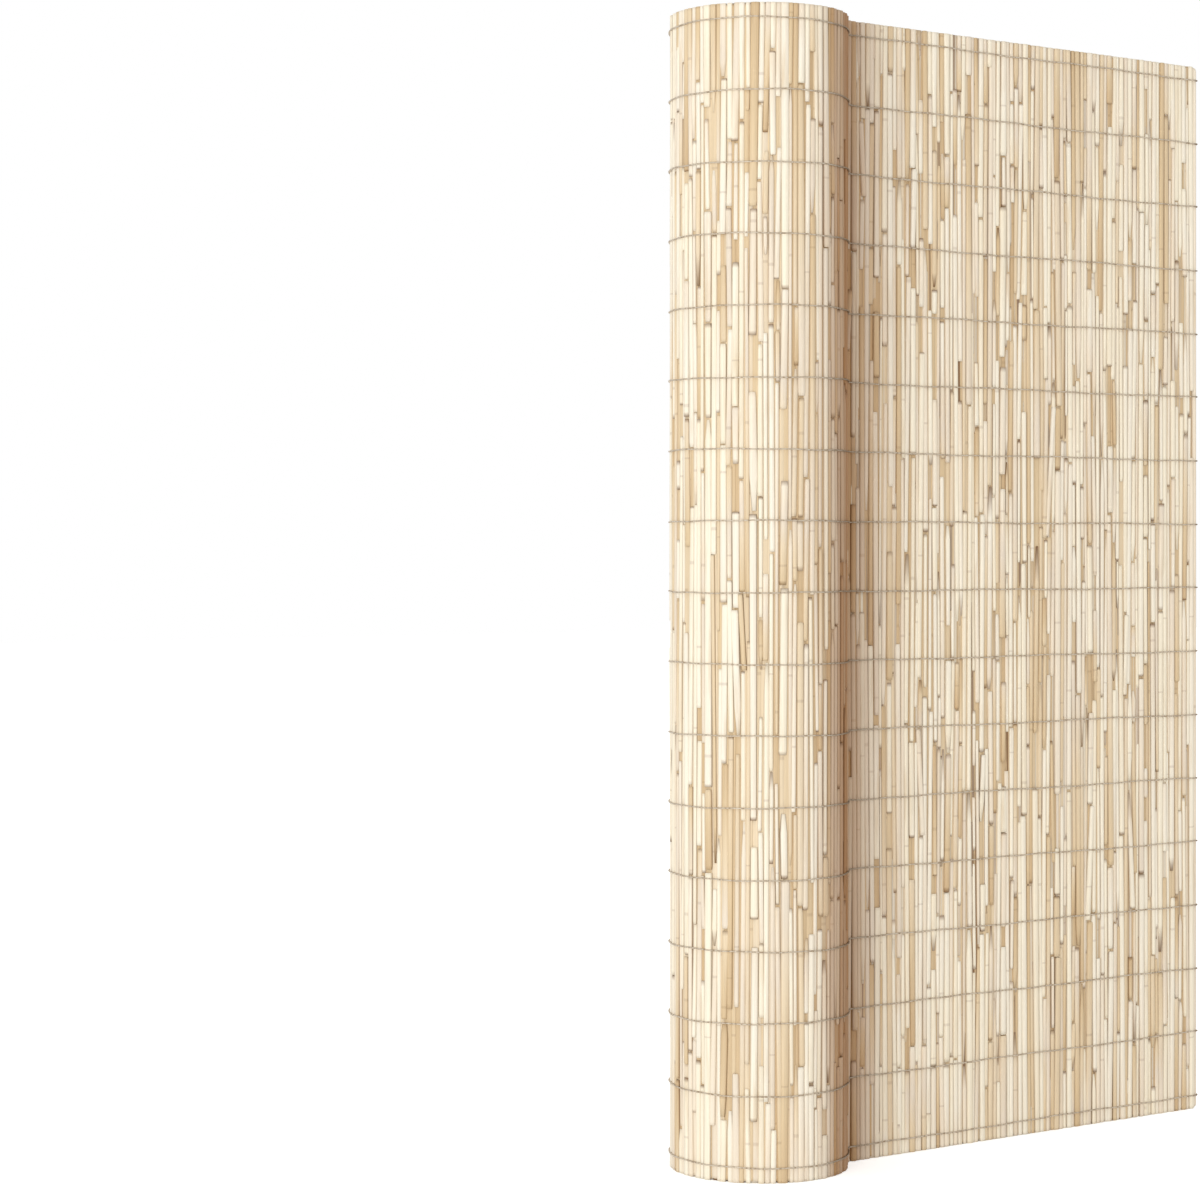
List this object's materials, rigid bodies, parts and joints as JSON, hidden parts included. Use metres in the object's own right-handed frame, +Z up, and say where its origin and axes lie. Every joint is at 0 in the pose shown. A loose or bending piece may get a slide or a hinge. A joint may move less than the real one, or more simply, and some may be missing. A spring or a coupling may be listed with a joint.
{
  "type": "reed screen",
  "caption": "Standing screen of upright peeled reeds bound by rows of thin wire, partly unrolled from its roll into a flat panel.",
  "frame": {"origin": "on the floor, on the axis of the roll", "axes": "+Z up along the reeds, +X from the roll along the flat panel to its free edge, -Y towards the front"},
  "size_m": [0.5928, 0.1584, 1],
  "materials": {
    "reed": "natural, matt, peeled",
    "wire": "dull galvanised"
  },
  "bodies": {
    "root": {"reed_mat": "reed", "binding_wire_01": "wire", "binding_wire_02": "wire", "binding_wire_03": "wire", "binding_wire_04": "wire", "binding_wire_05": "wire", "binding_wire_06": "wire", "binding_wire_07": "wire", "binding_wire_08": "wire", "binding_wire_09": "wire", "binding_wire_10": "wire", "binding_wire_11": "wire", "binding_wire_12": "wire", "binding_wire_13": "wire", "binding_wire_14": "wire", "binding_wire_15": "wire", "binding_wire_16": "wire", "binding_wire_17": "wire"}
  },
  "joints": []
}
